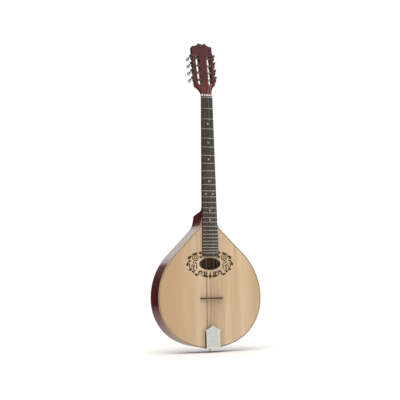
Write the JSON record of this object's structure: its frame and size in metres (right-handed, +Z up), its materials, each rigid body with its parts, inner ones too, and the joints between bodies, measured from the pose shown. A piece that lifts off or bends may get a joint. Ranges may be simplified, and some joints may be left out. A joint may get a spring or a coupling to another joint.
{
  "type": "bouzouki",
  "caption": "Flat-backed teardrop bouzouki with a long fretted neck, paired strings, slotted headstock with geared tuners, oval soundhole and metal tailpiece.",
  "frame": {"origin": "centre of the strap button's outer face, at the tail of the body, the lowest point of the upright instrument", "axes": "+Z up along the neck from the tail to the headstock, -Y out of the soundboard, +X to the right as seen from the front"},
  "size_m": [0.358, 0.0974, 1.0258],
  "materials": {
    "spruce": "satin lacquer over pale spruce",
    "rosette_inlay": "spruce-coloured ring that carries dark scrollwork",
    "mahogany_gloss": "high gloss dark red",
    "binding": "satin",
    "raw_wood": "unfinished",
    "rosewood": "oiled",
    "fret_wire": "nickel silver",
    "pearl": "pearl sheen",
    "bone": "polished",
    "bronze_string": "wound bronze",
    "steel": "bright",
    "nickel": "satin nickel",
    "brass_plate": "aged"
  },
  "bodies": {
    "instrument": {"soundboard": "spruce", "back": "mahogany_gloss", "sides": "mahogany_gloss", "top_binding": "binding", "back_binding": "binding", "linings": "raw_wood", "top_braces": "raw_wood", "back_braces": "raw_wood", "neck_block": "raw_wood", "tail_block": "raw_wood", "neck": "mahogany_gloss", "truss_rod": "steel", "fingerboard": "rosewood", "frets": "fret_wire", "fret_dots": "pearl", "nut": "bone", "rosette": "rosette_inlay", "bridge": "rosewood", "wound_strings": "bronze_string", "plain_strings": "steel", "tailpiece_base": "nickel", "tailpiece_screws": "steel", "strap_button": "nickel", "tuner_plate_left": "brass_plate", "tuner_plate_right": "brass_plate", "tuner_plate_screws": "steel"},
    "tailpiece_cover": {"tailpiece_cover": "nickel"},
    "tuner_left_1_knob": {"tuner_left_1_worm": "steel", "tuner_left_1_button": "pearl"},
    "tuner_left_1_barrel": {"tuner_left_1_post": "steel", "tuner_left_1_gear": "brass_plate"},
    "tuner_left_2_knob": {"tuner_left_2_worm": "steel", "tuner_left_2_button": "pearl"},
    "tuner_left_2_barrel": {"tuner_left_2_post": "steel", "tuner_left_2_gear": "brass_plate"},
    "tuner_left_3_knob": {"tuner_left_3_worm": "steel", "tuner_left_3_button": "pearl"},
    "tuner_left_3_barrel": {"tuner_left_3_post": "steel", "tuner_left_3_gear": "brass_plate"},
    "tuner_left_4_knob": {"tuner_left_4_worm": "steel", "tuner_left_4_button": "pearl"},
    "tuner_left_4_barrel": {"tuner_left_4_post": "steel", "tuner_left_4_gear": "brass_plate"},
    "tuner_right_1_knob": {"tuner_right_1_worm": "steel", "tuner_right_1_button": "pearl"},
    "tuner_right_1_barrel": {"tuner_right_1_post": "steel", "tuner_right_1_gear": "brass_plate"},
    "tuner_right_2_knob": {"tuner_right_2_worm": "steel", "tuner_right_2_button": "pearl"},
    "tuner_right_2_barrel": {"tuner_right_2_post": "steel", "tuner_right_2_gear": "brass_plate"},
    "tuner_right_3_knob": {"tuner_right_3_worm": "steel", "tuner_right_3_button": "pearl"},
    "tuner_right_3_barrel": {"tuner_right_3_post": "steel", "tuner_right_3_gear": "brass_plate"},
    "tuner_right_4_knob": {"tuner_right_4_worm": "steel", "tuner_right_4_button": "pearl"},
    "tuner_right_4_barrel": {"tuner_right_4_post": "steel", "tuner_right_4_gear": "brass_plate"}
  },
  "joints": [
    {"name": "tailpiece_cover_slide", "type": "slide", "parent": "instrument", "child": "tailpiece_cover", "axis": [0, 0, -1], "range_m": [0, 0.015]},
    {"name": "tuner_left_1_turn", "type": "hinge", "parent": "instrument", "child": "tuner_left_1_knob", "pos_m": [-0.04, 0.01068, 0.90311], "axis": [0, 0.9833, -0.1822], "continuous": true},
    {"name": "tuner_left_1_wind", "type": "hinge", "parent": "instrument", "child": "tuner_left_1_barrel", "pos_m": [-0.04, -0.00383, 0.89614], "axis": [1, 0, 0], "continuous": true},
    {"name": "tuner_left_2_turn", "type": "hinge", "parent": "instrument", "child": "tuner_left_2_knob", "pos_m": [-0.04, 0.01538, 0.92848], "axis": [0, 0.9833, -0.1822], "continuous": true},
    {"name": "tuner_left_2_wind", "type": "hinge", "parent": "instrument", "child": "tuner_left_2_barrel", "pos_m": [-0.04, 0.00087, 0.92151], "axis": [1, 0, 0], "continuous": true},
    {"name": "tuner_left_3_turn", "type": "hinge", "parent": "instrument", "child": "tuner_left_3_knob", "pos_m": [-0.04, 0.02009, 0.95385], "axis": [0, 0.9833, -0.1822], "continuous": true},
    {"name": "tuner_left_3_wind", "type": "hinge", "parent": "instrument", "child": "tuner_left_3_barrel", "pos_m": [-0.04, 0.00557, 0.94688], "axis": [1, 0, 0], "continuous": true},
    {"name": "tuner_left_4_turn", "type": "hinge", "parent": "instrument", "child": "tuner_left_4_knob", "pos_m": [-0.04, 0.02479, 0.97921], "axis": [0, 0.9833, -0.1822], "continuous": true},
    {"name": "tuner_left_4_wind", "type": "hinge", "parent": "instrument", "child": "tuner_left_4_barrel", "pos_m": [-0.04, 0.01027, 0.97224], "axis": [1, 0, 0], "continuous": true},
    {"name": "tuner_right_1_turn", "type": "hinge", "parent": "instrument", "child": "tuner_right_1_knob", "pos_m": [0.04, 0.01068, 0.90311], "axis": [0, 0.9833, -0.1822], "continuous": true},
    {"name": "tuner_right_1_wind", "type": "hinge", "parent": "instrument", "child": "tuner_right_1_barrel", "pos_m": [0.04, -0.00383, 0.89614], "axis": [1, 0, 0], "continuous": true},
    {"name": "tuner_right_2_turn", "type": "hinge", "parent": "instrument", "child": "tuner_right_2_knob", "pos_m": [0.04, 0.01538, 0.92848], "axis": [0, 0.9833, -0.1822], "continuous": true},
    {"name": "tuner_right_2_wind", "type": "hinge", "parent": "instrument", "child": "tuner_right_2_barrel", "pos_m": [0.04, 0.00087, 0.92151], "axis": [1, 0, 0], "continuous": true},
    {"name": "tuner_right_3_turn", "type": "hinge", "parent": "instrument", "child": "tuner_right_3_knob", "pos_m": [0.04, 0.02009, 0.95385], "axis": [0, 0.9833, -0.1822], "continuous": true},
    {"name": "tuner_right_3_wind", "type": "hinge", "parent": "instrument", "child": "tuner_right_3_barrel", "pos_m": [0.04, 0.00557, 0.94688], "axis": [1, 0, 0], "continuous": true},
    {"name": "tuner_right_4_turn", "type": "hinge", "parent": "instrument", "child": "tuner_right_4_knob", "pos_m": [0.04, 0.02479, 0.97921], "axis": [0, 0.9833, -0.1822], "continuous": true},
    {"name": "tuner_right_4_wind", "type": "hinge", "parent": "instrument", "child": "tuner_right_4_barrel", "pos_m": [0.04, 0.01027, 0.97224], "axis": [1, 0, 0], "continuous": true}
  ],
  "couplings": [
    {"joint": "tuner_left_1_wind", "follows": "tuner_left_1_turn", "ratio": 0.071429},
    {"joint": "tuner_left_2_wind", "follows": "tuner_left_2_turn", "ratio": 0.071429},
    {"joint": "tuner_left_3_wind", "follows": "tuner_left_3_turn", "ratio": 0.071429},
    {"joint": "tuner_left_4_wind", "follows": "tuner_left_4_turn", "ratio": 0.071429},
    {"joint": "tuner_right_1_wind", "follows": "tuner_right_1_turn", "ratio": 0.071429},
    {"joint": "tuner_right_2_wind", "follows": "tuner_right_2_turn", "ratio": 0.071429},
    {"joint": "tuner_right_3_wind", "follows": "tuner_right_3_turn", "ratio": 0.071429},
    {"joint": "tuner_right_4_wind", "follows": "tuner_right_4_turn", "ratio": 0.071429}
  ]
}
